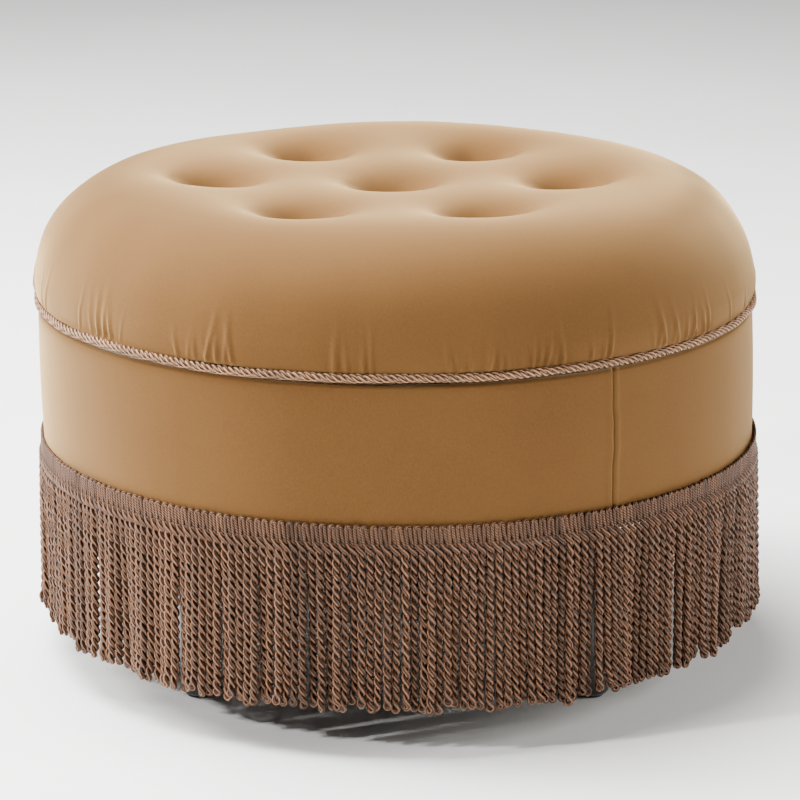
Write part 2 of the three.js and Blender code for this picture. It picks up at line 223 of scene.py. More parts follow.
def tubes(paths, radius, sides, up, section=1.0, pace=1.0):
    """Closed tubes round closed paths (tube, ring, xyz). up is a direction per path point;
    section is the share of the radius at each side.
    pace is how fast the UV map runs along each ring's stretch, against real metres."""
    ahead = np.roll(paths, -1, axis=1) - np.roll(paths, 1, axis=1)
    ahead = unit(ahead)
    side = unit(up - ahead * np.sum(up * ahead, -1, keepdims=True))
    other = np.cross(ahead, side)
    turn = round_angles(sides)
    reach = np.broadcast_to(radius, paths.shape[:2])[..., None] * np.broadcast_to(section, sides)
    ring = reach[..., None] * (
        np.cos(turn)[:, None] * side[:, :, None] + np.sin(turn)[:, None] * other[:, :, None]
    )
    points = paths[:, :, None] + ring
    count, rings = paths.shape[:2]
    quads = grid_quads(rings, sides, wrap_rows=True)
    quads = (quads[None] + (np.arange(count) * rings * sides)[:, None, None]).reshape(-1, 4)
    step = np.linalg.norm(np.roll(paths, -1, axis=1) - paths, axis=-1) * pace
    along = np.concatenate([np.zeros((count, 1)), np.cumsum(step, 1)], 1)
    r, s = np.meshgrid(np.arange(rings), np.arange(sides), indexing="ij")
    corner_v = along[:, np.stack([r, r, r + 1, r + 1], -1)]
    corner_u = np.broadcast_to(np.stack([s, s + 1, s + 1, s], -1) / sides, corner_v.shape)
    uvs = np.stack([corner_u, corner_v], -1).reshape(-1, 2)
    return points.reshape(-1, 3), quads, uvs


def smooth_noise(seed, count, *waves):
    """A periodic curve of random value: waves are (amplitude, lowest wave, highest wave)."""
    draw = np.random.default_rng(seed)
    at = round_angles(count)
    total = np.zeros(count)
    for amplitude, first, last in waves:
        part = np.zeros(count)
        for k in range(first, last + 1):
            part += draw.normal() * np.cos(k * at) + draw.normal() * np.sin(k * at)
        total += amplitude * part / max(1e-9, np.std(part))
    return total


# Materials


class Finish:
    """A node material, built node by node round one Principled shader."""

    def __init__(self, name, roughness, **sockets):
        self.material = bpy.data.materials.new(name)
        self.material.use_nodes = True
        self.tree = self.material.node_tree
        self.shader = self.tree.nodes["Principled BSDF"]
        self.shader.inputs["Roughness"].default_value = roughness
        for key, value in sockets.items():
            self.shader.inputs[key.replace("_", " ")].default_value = value
        self.where = self.node("TexCoord").outputs["Object"]

    def node(self, kind, **sockets):
        made = self.tree.nodes.new("ShaderNode" + kind)
        for key, value in sockets.items():
            if hasattr(made, key) and key not in made.inputs:
                setattr(made, key, value)
            else:
                self.feed(made.inputs[key], value)
        return made

    def feed(self, socket, value):
        if isinstance(value, bpy.types.NodeSocket):
            self.tree.links.new(value, socket)
        else:
            socket.default_value = value

    def math(self, operation, a, b=0.0, c=0.0):
        made = self.node("Math", operation=operation)
        for socket, value in zip(made.inputs, (a, b, c)):
            self.feed(socket, value)
        return made.outputs[0]

    def waves(self, value, rate):
        return self.math("SINE", self.math("MULTIPLY", value, rate))

    def noise(self, scale, detail=2.0, where=None, roughness=0.5):
        made = self.node("TexNoise", Scale=scale, Detail=detail, Roughness=roughness)
        self.feed(made.inputs["Vector"], where or self.where)
        return made.outputs["Fac"]

    def stretched(self, scale):
        made = self.node("VectorMath", operation="MULTIPLY")
        self.feed(made.inputs[0], self.where)
        made.inputs[1].default_value = scale
        return made.outputs[0]

    def between(self, value, low, high, start=0.0, end=1.0):
        made = self.node("MapRange")
        sockets = ("Value", "From Min", "From Max", "To Min", "To Max")
        for key, number in zip(sockets, (value, start, end, low, high)):
            self.feed(made.inputs[key], number)
        return made.outputs[0]

    def mix(self, share, a, b):
        made = self.node("Mix", data_type="RGBA")
        for socket, value in ((made.inputs[0], share), (made.inputs[6], a), (made.inputs[7], b)):
            self.feed(socket, value)
        return made.outputs[2]

    def tones(self, value, start, end, dark, pale):
        """A colour from dark to pale as a value goes from start to end."""
        return self.mix(self.between(value, 0.0, 1.0, start, end), srgb(dark), srgb(pale))

    def attribute(self, name):
        return self.node("Attribute", attribute_name=name).outputs["Fac"]

    def colour(self, value):
        self.feed(self.shader.inputs["Base Color"], value)

    def rough(self, value):
        self.feed(self.shader.inputs["Roughness"], value)

    def bump(self, height, distance, strength=1.0):
        made = self.node("Bump", Strength=strength, Distance=distance)
        self.feed(made.inputs["Height"], height)
        self.feed(self.shader.inputs["Normal"], made.outputs[0])
        return self


def srgb(code):
    """A linear colour from an sRGB hex code."""
    parts = [int(code[k : k + 2], 16) / 255 for k in (0, 2, 4)]
    linear = [p / 12.92 if p <= 0.04045 else ((p + 0.055) / 1.055) ** 2.4 for p in parts]
    return (*linear, 1.0)


def velvet():
    """Cotton velvet: short pile, so a soft pale sheen, with a brushed, faintly mottled nap."""
    sheen = {"Sheen_Weight": 0.75, "Sheen_Roughness": 0.38, "Sheen_Tint": srgb("FFD99E")}
    f = Finish("velvet_gold", 0.85, Specular_IOR_Level=0.1, **sheen)
    nap = f.noise(900.0, 2.0, f.stretched((1.0, 1.0, 0.6)))
    body = f.tones(f.noise(5.0, 4.0), 0.3, 0.7, "573A1B", "5F4120")
    speckle = f.between(nap, 0.0, 0.2, 0.35, 0.75)
    f.colour(f.mix(speckle, body, srgb("77562D")))
    pile = f.noise(1500.0, 1.0)
    return f.bump(f.math("MULTIPLY_ADD", nap, 0.6, pile), 0.00012, 0.5).material


def yarn(name, deep, mid, pale, lines, lean, gloss):
    """Viscose cord: fine yarns round each ply, with a painted highlight on their crests, painted shade in
    the furrows between them and on each ply's side toward the axis, and a random tone per strand.
    """
    f = Finish(name, gloss, Specular_IOR_Level=0.18)
    layout = f.node("UVMap", uv_map="UVMap").outputs[0]
    parts = f.node("SeparateXYZ", Vector=layout)
    turn = f.math("MULTIPLY_ADD", parts.outputs[0], TAU * lines, math.pi)
    phase = f.math("MULTIPLY_ADD", parts.outputs[1], TAU * lean, turn)
    crest = f.between(f.math("COSINE", phase), 0.0, 1.0, -1.0, 1.0)
    fuzz = f.noise(900.0, 2.0)
    # painted highlight: the yarn crests are mixed towards the pale colour, standing in for light catching
    # them
    lift = f.math("MULTIPLY", crest, f.between(fuzz, 0.55, 1.25, 0.3, 0.7))
    tone = f.mix(lift, srgb(mid), srgb(pale))
    # painted shade: the furrows between the yarns are mixed towards the deep colour
    painted_furrow_shade = f.between(crest, 0.9, 0.0, 0.0, 0.55)
    tone = f.mix(painted_furrow_shade, tone, srgb(deep))
    # painted shade: each ply's side toward the strand's or rope's axis is mixed towards the deep colour
    axis_shade_share = f.between(f.attribute("painted_axis_shade"), 0.0, 0.92, -0.05, 0.6)
    tone = f.mix(axis_shade_share, tone, srgb(deep))
    shade = f.between(f.attribute("shade"), 0.6, 1.25)
    shaded = f.node("VectorMath", operation="SCALE", Scale=shade)
    f.feed(shaded.inputs[0], tone)
    f.colour(shaded.outputs[0])
    return f.bump(f.math("MULTIPLY_ADD", fuzz, 0.5, crest), 0.00035, 0.8).material


def plain_weave(name, dark, pale, threads, roughness=0.9):
    """A plain woven cloth with fine threads both ways."""
    f = Finish(name, roughness, Specular_IOR_Level=0.2, Sheen_Weight=0.15, Sheen_Roughness=0.5)
    x, y, z = f.node("SeparateXYZ", Vector=f.where).outputs
    over = f.waves(f.math("ARCTAN2", y, x), threads * 0.3)
    wall = f.math("MULTIPLY", over, f.waves(z, threads))
    weave = f.math("MULTIPLY_ADD", f.waves(x, threads), f.waves(y, threads), wall)
    slub = f.noise(60.0, 3.0)
    f.colour(f.tones(f.math("MULTIPLY_ADD", slub, 2.0, weave), -0.6, 2.4, dark, pale))
    return f.bump(weave, 0.0002, 0.6).material


def fibrous(name, dark, pale, scale, depth, roughness=0.95):
    """Wadding, felt or cut foam: a soft random texture."""
    f = Finish(name, roughness, Specular_IOR_Level=0.15)
    grain = f.noise(scale, 5.0, roughness=0.65)
    f.colour(f.tones(grain, 0.3, 0.7, dark, pale))
    return f.bump(grain, depth, 0.8).material


PLY_PAIR = 0.003


def plywood():
    """Birch plywood: long grain on the faces, thin layers on the edges."""
    f = Finish("plywood_birch", 0.6, Specular_IOR_Level=0.3)
    grain = f.noise(1.0, 6.0, f.stretched((9.0, 150.0, 9.0)), 0.6)
    face = f.tones(grain, 0.35, 0.65, "B98F5E", "DDBE90")
    height = f.node("SeparateXYZ", Vector=f.where).outputs[2]
    layers = f.waves(height, TAU / PLY_PAIR)
    f.colour(f.mix(f.between(layers, 0.0, 0.35, 0.2, 0.6), face, srgb("8A623A")))
    return f.bump(grain, 0.0002, 0.4).material


def black_lacquer():
    """Black lacquered wood, its grain just showing, rubbed at the foot."""
    f = Finish("black_lacquer", 0.3, Specular_IOR_Level=0.5, Coat_Weight=0.3, Coat_Roughness=0.15)
    grain = f.noise(1.0, 5.0, f.stretched((160.0, 160.0, 12.0)), 0.6)
    height = f.node("SeparateXYZ", Vector=f.where).outputs[2]
    rubbed = f.math("MULTIPLY", f.between(height, 1.0, 0.0, 0.003, 0.012), f.noise(300.0, 3.0))
    worn = f.between(rubbed, 0.0, 0.5, 0.35, 0.7)
    f.colour(f.mix(worn, f.tones(grain, 0.3, 0.7, "0B0A09", "191614"), srgb("3A332C")))
    f.rough(f.between(grain, 0.26, 0.42, 0.3, 0.7))
    return f.bump(grain, 0.00015, 0.3).material


def metal(name, dark, pale, roughness):
    """Zinc-plated steel with fine drawn lines and light handling marks."""
    f = Finish(name, roughness, Metallic=1.0)
    lines = f.noise(1.0, 3.0, f.stretched((40.0, 900.0, 900.0)))
    marks = f.noise(120.0, 4.0)
    f.colour(f.tones(marks, 0.35, 0.7, dark, pale))
    f.rough(f.between(f.math("ADD", lines, marks), roughness - 0.08, roughness + 0.14, 0.7, 1.3))
    return f.bump(lines, 0.00005, 0.3).material


def plastic(name, dark, pale):
    """Moulded plastic, slightly matt, scuffed."""
    f = Finish(name, 0.5, Specular_IOR_Level=0.45)
    scuff = f.noise(500.0, 4.0)
    f.colour(f.tones(scuff, 0.4, 0.65, dark, pale))
    f.rough(f.between(scuff, 0.42, 0.6, 0.35, 0.7))
    return f.bump(scuff, 0.00008, 0.3).material


VELVET = velvet()
# in each yarn the first colour is painted shade for the yarn furrows and the plies' sides toward the axis,
# and the last is a painted highlight on the yarn crests
FRINGE = yarn("bullion_viscose", "110703", "372214", "805B43", 4, 430.0, 0.5)
ROPE = yarn("rope_viscose", "1C0E07", "5A3A26", "B98F6C", 4, 40.0, 0.45)
TAPE = plain_weave("header_tape_weave", "6B4630", "8E6448", 3800.0)
LINING = plain_weave("lining_weave", "8C7458", "B59C7C", 5200.0)
DUST = plain_weave("dust_cloth_weave", "0D0D0E", "232225", 4200.0)
WADDING = fibrous("wadding_fibre", "C9C4B8", "EDEAE2", 130.0, 0.002)
FOAM = fibrous("foam_cut", "D5C173", "EBDCA0", 700.0, 0.0006)
TWINE = fibrous("twine_fibre", "B9A98C", "DED2B8", 1400.0, 0.0004)
PLYWOOD = plywood()
LACQUER = black_lacquer()
STEEL = metal("zinc_steel", "8F9092", "C3C4C6", 0.34)
GLIDE = plastic("glide_plastic", "101010", "242424")


# Lid cushion

lid_low, lid_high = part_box("lid_velvet")

PARTING = lid_low.z
UNDERSIDE = PARTING + 0.00155
CUSHION_RADIUS = lid_high.x - 0.003
SHOULDER_HEIGHT = 0.322
SHOULDER_RUN = 0.117
SHOULDER_RISE = 0.099
SHOULDER_POWER = 2.2
SHOULDER_BLEND = 0.03
CROWN_DIP = 0.012
GROOVE_RADIUS = 0.2996
GROOVE_TOP = 0.3122
TURN_UNDER_RADIUS = 0.2852

TUFTS = []
for number in range(1, 8):
    low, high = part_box(f"tuft_button_{number}")
    TUFTS.append((*middle(low, high), low.z, high.z))
TUFT_FLOOR = 0.009
TUFT_FLARE = 0.0215
TUFT_FLARE_POWER = 2.2
TUFT_DISH = 0.009
TUFT_DISH_WIDTH = 0.046
TUFT_CREASES = 5
TUFT_REACH = 0.036
BUTTON_SEAT = 0.0005


def crown(radius):
    """Height of the untufted cushion at a radius."""
    past = np.clip((radius - (CUSHION_RADIUS - SHOULDER_RUN)) / SHOULDER_RUN, 0, 1)
    rise = SHOULDER_RISE * (1 - past**SHOULDER_POWER) ** (1 / SHOULDER_POWER)
    dip = CROWN_DIP * (1 - (radius / CUSHION_RADIUS) ** 2)
    return SHOULDER_HEIGHT + rise - dip * np.clip(rise / SHOULDER_RISE, 0, 1)


def tuft_sink(x, y):
    """How far the tufts pull the cushion down at a point, with faint creases round each."""
    total = np.zeros(np.shape(x))
    for k, (tx, ty, bottom, _) in enumerate(TUFTS):
        away = np.hypot(x - tx, y - ty)
        angle = np.arctan2(y - ty, x - tx)
        depth = crown(np.hypot(tx, ty)) - (bottom - BUTTON_SEAT)
        flare = (np.maximum(0, away - TUFT_FLOOR) / TUFT_FLARE) ** 2
        crease = 1 + 0.05 * np.cos(TUFT_CREASES * angle + 1.7 * k) * hump(away - 0.022, 0.012)
        total += (depth - TUFT_DISH) * (1 + flare) ** -TUFT_FLARE_POWER * crease
        total += TUFT_DISH * hump(away, TUFT_DISH_WIDTH)
    return total


def over_shoulder(side_points, top_points):
    """Radii up the side, over the shoulder and across the top to the middle."""
    bend = np.linspace(0, math.pi / 2, side_points)
    side = CUSHION_RADIUS - SHOULDER_RUN * (1 - np.cos(bend) ** (2 / SHOULDER_POWER))
    top = np.linspace(CUSHION_RADIUS - SHOULDER_RUN, 0, top_points + 1)[1:]
    return np.concatenate([side, top])


def cushion_profile():
    """Section of the cushion from under the lid, round the rope's groove, to the crown's middle."""
    foot = PARTING + 0.0001
    under = [
        (0.0, UNDERSIDE), (TURN_UNDER_RADIUS - 0.001, UNDERSIDE), (TURN_UNDER_RADIUS, foot),
        (GROOVE_RADIUS, foot), (GROOVE_RADIUS + 0.0002, GROOVE_TOP),
        (CUSHION_RADIUS - 0.0010, GROOVE_TOP - 0.0003), (CUSHION_RADIUS, SHOULDER_HEIGHT),
    ]
    lower = rounded(under, 0.003, 6)
    radii = over_shoulder(80, 119)[1:]
    upper = np.stack([radii, crown(radii)], -1)
    upper[-1, 0] = 0
    return np.concatenate([lower, upper])


CUSHION_COLUMNS = 640
HEM_COLUMNS = 2 * CUSHION_COLUMNS
HEM_TOP = 0.0350
RINGS = {"plain": 0.0056, "tufts": 0.0037, "gathers": 0.0035, "hem": 0.0014, "groove": 0.003, "under": 0.012}


def ring_spacing(profile):
    """Closer rings where the tufts, the gathers and the groove need them."""
    spacing = np.full(len(profile), RINGS["plain"])
    radius, height = profile[:, 0], profile[:, 1]
    on_top = height > SHOULDER_HEIGHT + 0.04
    for x, y, _, _ in TUFTS:
        spacing[on_top & (np.abs(radius - math.hypot(x, y)) < TUFT_REACH)] = RINGS["tufts"]
    spacing[height < GROOVE_TOP + HEM_TOP] = RINGS["gathers"]
    spacing[height < SHOULDER_HEIGHT - 0.001] = RINGS["hem"]
    spacing[height < GROOVE_TOP - 0.001] = RINGS["groove"]
    spacing[height < UNDERSIDE + 0.00005] = RINGS["under"]
    return spacing


# gathers come in groups: the degrees from the front where each starts and ends, and its folds
GATHER_GROUPS = (
    (-52, -48, 3), (-34, -24, 7), (-9, -3, 4), (8, 17, 6), (20, 26, 6), (30, 34, 3), (43, 56, 9),
    (84, 92, 4), (108, 121, 6), (140, 149, 5), (168, 181, 6), (203, 212, 4), (236, 250, 6), (268, 277, 4),
)
LONE_GATHERS = 30
GATHER_LIMIT = 0.0029


def gather_fold(angles, heights):
    """How far the small gathers above the rope stand out, for every angle and height."""
    draw = np.random.default_rng(11)
    folds = [(place, 0.5) for place in draw.uniform(0, TAU, LONE_GATHERS)]
    for start, end, count in GATHER_GROUPS:
        for place in np.linspace(start, end, count):
            folds.append((FRONT + math.radians(place + draw.normal() * 0.35), 1.0))
    total = np.zeros((len(heights), len(angles)))
    lift = (heights - GROOVE_TOP)[:, None]
    for place, strength in folds:
        height = draw.uniform(0.0018, 0.0032) * strength
        length = draw.uniform(0.009, 0.023)
        width = draw.uniform(0.0012, 0.0019)
        lean = draw.uniform(-0.25, 0.25)
        centre = place + lean * lift / CUSHION_RADIUS
        away = turn_from(centre, angles[None])
        away = away * CUSHION_RADIUS / (width * (1 + lift / 0.04))
        fade = np.exp(-((np.clip(lift - 0.003, 0, None) / length) ** 1.5)) * (lift > -0.002)
        total += height * fade * (np.exp(-(away**2)) - 0.35 * np.exp(-(away**2) / 6))
    return np.clip(total, -GATHER_LIMIT, GATHER_LIMIT)


def cover_rows(part, every, gathered=1.0):
    """The cover's points for some rows of its section, at every so many of the hem's columns."""
    angles = np.arange(0, HEM_COLUMNS, every) * TAU / HEM_COLUMNS
    wobble = smooth_noise(5, HEM_COLUMNS, (0.0007, 2, 9), (0.0003, 10, 26))[::every]
    drift = smooth_noise(6, HEM_COLUMNS, (0.0008, 2, 7))[::every]
    points = spun(part[:, 0], part[:, 1], angles)
    radius, height = part[:, :1], part[:, 1:]
    upper = eased((height - SHOULDER_HEIGHT) / SHOULDER_BLEND)
    side = np.clip((height - GROOVE_TOP) / 0.004, 0, 1)
    folds = wobble + gathered * gather_fold(angles, part[:, 1])
    outward = side * folds * np.clip(radius / 0.25, 0, 1)
    upward = -tuft_sink(points[..., 0], points[..., 1]) * upper
    upward += upper * drift * np.clip(radius / 0.2, 0, 1) ** 2
    return moved_out(points, outward, upward)


def middle_height():
    """Height of the cover at the lid's axis."""
    return crown(np.zeros(1))[0] - tuft_sink(np.zeros(1), np.zeros(1))[0]


CLOTH_EVERY = 8
CLOTH_SPACING = 0.0062
CLOTH_FRAMES = 20
CLOTH_HOLD = 0.25
CLOTH_PINNED = TUFT_FLOOR + 0.004
CLOTH_CAP = 0.0035
CLOTH_SETTINGS = {
    "quality": 6, "mass": 0.3, "bending_stiffness": 0.2, "shrink_min": 0.004,
    "use_pressure": True, "uniform_pressure_force": 16.0, "vertex_group_mass": "pins",
}


def settled_cover(profile):
    """Cloth simulation of the cover, cut a little tight and blown out against its tufts and hem.
    Gives the coarse section's lengths and how far every point of its grid moves."""
    coarse = resample(profile, CLOTH_SPACING)[:-1]
    start = cover_rows(coarse, CLOTH_EVERY, 0.0)
    rows, columns = start.shape[:2]
    points = np.concatenate([start.reshape(-1, 3), [[0, 0, middle_height()]]])
    last = (rows - 1) * columns + np.arange(columns)
    cap = np.stack([last, np.roll(last, -1), np.full(columns, rows * columns)], -1)
    data = bpy.data.meshes.new("cover_cloth")
    data.from_pydata(points.tolist(), [], grid_quads(rows, columns).tolist() + cap.tolist())
    cover = new_object("cover_cloth", data)
    scene = bpy.context.scene
    from_tuft = np.min([np.hypot(points[:, 0] - x, points[:, 1] - y) for x, y, _, _ in TUFTS], axis=0)
    pinned = from_tuft < CLOTH_PINNED
    pinned[: 2 * columns] = True
    pins = cover.vertex_groups.new(name="pins")
    pins.add(np.flatnonzero(pinned).tolist(), 1.0, "REPLACE")
    pins.add(np.flatnonzero(~pinned).tolist(), CLOTH_HOLD, "REPLACE")
    cloth = cover.modifiers.new("Cloth", "CLOTH")
    for key, value in CLOTH_SETTINGS.items():
        setattr(cloth.settings, key, value)
    cloth.settings.effector_weights.gravity = 0.0
    cloth.point_cache.frame_start = 1
    cloth.point_cache.frame_end = CLOTH_FRAMES
    for step in range(1, CLOTH_FRAMES + 1):
        scene.frame_set(step)
    done = cover.evaluated_get(bpy.context.evaluated_depsgraph_get()).to_mesh()
    found = np.empty(len(points) * 3, np.float32)
    done.vertices.foreach_get("co", found)
    scene.frame_set(1)
    bpy.data.objects.remove(cover)
    bpy.data.meshes.remove(data)
    moved = (found.reshape(-1, 3) - points)[:-1]
    length = np.maximum(np.linalg.norm(moved, axis=-1, keepdims=True), 1e-9)
    moved *= CLOTH_CAP * np.tanh(length / CLOTH_CAP) / length
    return lengths_along(coarse), moved.reshape(rows, columns, 3)


def spread_move(lengths, moved, own_lengths, every):
    """The coarse cloth's moves at the rows and columns of a finer grid."""
    columns = moved.shape[1]
    at = np.arange(0, HEM_COLUMNS, every) / CLOTH_EVERY
    low = np.floor(at).astype(int) % columns
    share = eased((at - np.floor(at))[None, :, None])
    round_it = moved[:, low] * (1 - share) + moved[:, (low + 1) % columns] * share
    row = np.interp(own_lengths, lengths, np.arange(len(lengths)))
    under = np.minimum(row.astype(int), len(lengths) - 2)
    share = eased((row - under)[:, None, None])
    return round_it[under] * (1 - share) + round_it[under + 1] * share


def build_cushion():
    profile = cushion_profile()
    profile = resample(profile, ring_spacing(profile))[1:-1]
    hem = int(np.argmax(profile[:, 1] > GROOVE_TOP + HEM_TOP)) + 1
    lower, upper = cover_rows(profile[:hem], 1), cover_rows(profile[hem:], 2)
    above = int(np.argmax(profile[:, 1] > SHOULDER_HEIGHT))
    lengths, moved = settled_cover(profile[above:])
    along = lengths_along(profile[above:])
    lower[above:] += spread_move(lengths, moved, along[: hem - above], 1)
    upper += spread_move(lengths, moved, along[hem - above :], 2)
    lower, upper = lower.reshape(-1, 3), upper.reshape(-1, 3)
    shift = len(lower)
    count = CUSHION_COLUMNS
    ends = [[0, 0, UNDERSIDE], [0, 0, middle_height()]]
    points = np.concatenate([lower, upper, ends])
    low_end, high_end = len(points) - 2, len(points) - 1
    wide, ring = np.arange(HEM_COLUMNS), np.arange(count)
    after = (ring + 1) % count
    last = (hem - 1) * HEM_COLUMNS
    left, between, right = last + 2 * ring, last + 2 * ring + 1, last + 2 * after
    top = shift + (len(profile) - hem - 1) * count
    tris = [
        fan(low_end, (wide + 1) % HEM_COLUMNS, wide),
        np.stack([left, between, shift + ring], -1),
        np.stack([between, shift + after, shift + ring], -1),
        np.stack([between, right, shift + after], -1),
        fan(high_end, top + ring, top + after),
    ]
    quads = np.concatenate([grid_quads(hem, HEM_COLUMNS), shift + grid_quads(len(profile) - hem, count)])
    piece = make("cushion", points, quads, VELVET, "lid", np.concatenate(tris))
    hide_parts("lid_velvet")


build_cushion()


FOAM_INSET = 0.0042
FOAM_FOOT_RADIUS = 0.2960


def build_foam():
    """The foam core, just inside the cover."""
    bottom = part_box("lid_board")[1].z + 0.0003
    side_points, top_points = 30, 59
    cover = over_shoulder(side_points, top_points)
    radii = cover - FOAM_INSET * np.concatenate([np.ones(side_points), np.linspace(1, 0, top_points)])
    heights = crown(cover) - FOAM_INSET
    heights[0] = SHOULDER_HEIGHT
    radii = np.concatenate([[0, 0.001, FOAM_FOOT_RADIUS], radii[:-1], [0]])
    heights = np.concatenate([[bottom] * 3, heights[:-1], [middle_height() - FOAM_INSET]])

    def sunk(points):
        upper = np.clip((heights[1:-1, None] - SHOULDER_HEIGHT) / SHOULDER_BLEND, 0, 1)
        points[..., 2] -= tuft_sink(points[..., 0], points[..., 1]) * upper
        return points

    profile = np.stack([radii, heights], -1)
    piece = turned("cushion_foam", profile, FOAM, "lid", sides=240, shift=sunk)
    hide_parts("lid_foam")


build_foam()

BUTTON_POINTS = 9
for number, (tx, ty, low, high) in enumerate(TUFTS, 1):
    button_low, button_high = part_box(f"tuft_button_{number}")
    reach = (button_high.x - button_low.x) / 2
    bend = np.linspace(0, math.pi / 2, BUTTON_POINTS)
    dome = [(reach * math.cos(b), low + 0.0025 + (high - low - 0.0025) * math.sin(b)) for b in bend]
    section = [(0, low), (reach - 0.002, low), (reach, low + 0.0015)] + dome[:-1] + [(0, high)]
    button = turned(f"covered_button_{number}", section, VELVET, "lid", (tx, ty), 48)
    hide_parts(f"tuft_button_{number}")


# Rope round the lid's foot

ROPE_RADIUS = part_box("lid_cord")[1].x - 0.004
ROPE_HEIGHT = 0.309
ROPE_TURNS = 127
ROPE_PLIES = 3
ROPE_PLY_OFFSET = 0.00215
ROPE_PLY_RADIUS = 0.00172
ROPE_STEPS = 1900
ROPE_SIDES = 10
HINGE_HALF = 0.050
HINGE_RAMP = 0.02
HINGE_LIFT = 0.0028


def build_rope():
    at = round_angles(ROPE_STEPS)
    outward = outward_at(at)
    from_back = np.abs(turn_from(BACK, at)) * ROPE_RADIUS
    over_hinge = eased((HINGE_HALF + HINGE_RAMP - from_back) / HINGE_RAMP)
    waver = smooth_noise(21, ROPE_STEPS, (0.0004, 3, 20))
    height = ROPE_HEIGHT + HINGE_LIFT * over_hinge + waver
    in_out = ROPE_RADIUS + smooth_noise(22, ROPE_STEPS, (0.00025, 4, 30))
    centre = outward * in_out[:, None]
    centre[:, 2] = height
    slack = smooth_noise(23, ROPE_STEPS, (0.35, 2, 14))
    paths = []
    for ply in range(ROPE_PLIES):
        phase = -ROPE_TURNS * at + slack + ply * TAU / ROPE_PLIES
        offset = outward * np.cos(phase)[:, None]
        offset[:, 2] = np.sin(phase)
        paths.append(centre + ROPE_PLY_OFFSET * offset)
    paths = np.array(paths)
    up = np.broadcast_to(outward, paths.shape)
    points, quads, uvs = tubes(paths, ROPE_PLY_RADIUS, ROPE_SIDES, up)
    shade = np.repeat(0.5 + smooth_noise(24, ROPE_STEPS, (0.12, 3, 60)), ROPE_SIDES)
    # how far each point faces the rope's axis, which sets the painted shade there
    away = points.reshape(ROPE_PLIES, ROPE_STEPS, ROPE_SIDES, 3) - paths[:, :, None]
    inward = (centre - paths) / ROPE_PLY_OFFSET
    facing_axis = np.sum(away * inward[:, :, None], -1) / ROPE_PLY_RADIUS
    piece = make(
        "rope_edging", points, quads, ROPE, "lid", uvs=uvs,
        values={"shade": np.tile(shade, ROPE_PLIES), "painted_axis_shade": facing_axis},
    )
    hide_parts("lid_cord")


build_rope()


# Velvet band round the drum, and what is behind it

drum_low, drum_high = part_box("drum_velvet")
BAND_RADIUS = drum_high.x
BAND_LOW = drum_low.z
BAND_HIGH = drum_high.z
FOOT_LEAN = 0.0028
BULGE = 0.0012


def drum_lean(angles, heights):
    """The drum's foot stands a little to the right of its rim, as a hand-padded drum does."""
    down = np.clip((BAND_HIGH - heights) / (BAND_HIGH - BAND_LOW), 0, 1)
    return FOOT_LEAN * np.cos(angles) * down


SEAM = FRONT + math.radians(34.2)
SEAM_DEPTH, SEAM_WIDTH = 0.0010, 0.0008
# how far each ridge is from the seam, and its height and width
SEAM_RIDGES = ((0.0035, 0.0007, 0.0022), (-0.004, 0.0003, 0.003))
SEAM_REACH = 0.05
PUCKERS, PUCKER_HEIGHT, PUCKER_WIDTH = 9, 0.0003, 0.005
BAND_WAVES = 720


def build_band():
    inner = BAND_RADIUS - 0.0019
    outer = [
        (inner, BAND_LOW), (BAND_RADIUS, BAND_LOW), (BAND_RADIUS, BAND_HIGH - 0.0045),
        (BAND_RADIUS - 0.0012, BAND_HIGH - 0.0012), (inner + 0.0003, BAND_HIGH),
    ]
    section = resample(rounded(outer, 0.004, 6), 0.0042)
    back = np.array([(inner - 0.0001, BAND_HIGH - 0.002), (inner - 0.0001, BAND_LOW + 0.03)])
    section = np.concatenate([section, back])
    near = np.linspace(-1, 1, 91) ** 3 * SEAM_REACH + SEAM
    wide = np.linspace(SEAM + SEAM_REACH, SEAM - SEAM_REACH + TAU, 560)[1:-1]
    angles = np.concatenate([near, wide])
    heights = section[:, 1][:, None]
    from_seam = turn_from(SEAM, angles) * BAND_RADIUS
    from_seam = from_seam + 0.0005 * np.sin(heights * 95) + 0.0003 * np.sin(heights * 260)
    face = np.clip((section[:, 0][:, None] - inner) / 0.0015, 0, 1)
    draw = np.random.default_rng(31)
    pucker = np.zeros((len(section), len(angles)))
    for _ in range(PUCKERS):
        at = draw.uniform(BAND_LOW + 0.02, BAND_HIGH - 0.008)
        reach = draw.uniform(0.004, 0.012)
        side = draw.uniform(0.003, 0.010)
        pucker += PUCKER_HEIGHT * hump(heights - at, PUCKER_WIDTH) * hump(from_seam - side, reach)
    groove = -SEAM_DEPTH * hump(from_seam, SEAM_WIDTH)
    fold = sum(height * hump(from_seam - off, width) for off, height, width in SEAM_RIDGES)
    swell = BULGE * np.sin(np.clip((heights - BAND_LOW) / (BAND_HIGH - BAND_LOW), 0, 1) * math.pi)
    slow = smooth_noise(32, BAND_WAVES, (0.00025, 3, 14))
    slow = np.interp(angles % TAU, round_angles(BAND_WAVES), slow)
    outward = face * (groove + fold + pucker + slow) + swell + drum_lean(angles, heights)
    piece = shell("drum_band", section, angles, VELVET, "base", outward)
    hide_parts("drum_velvet")


build_band()


CLOTH_COLUMNS = 360


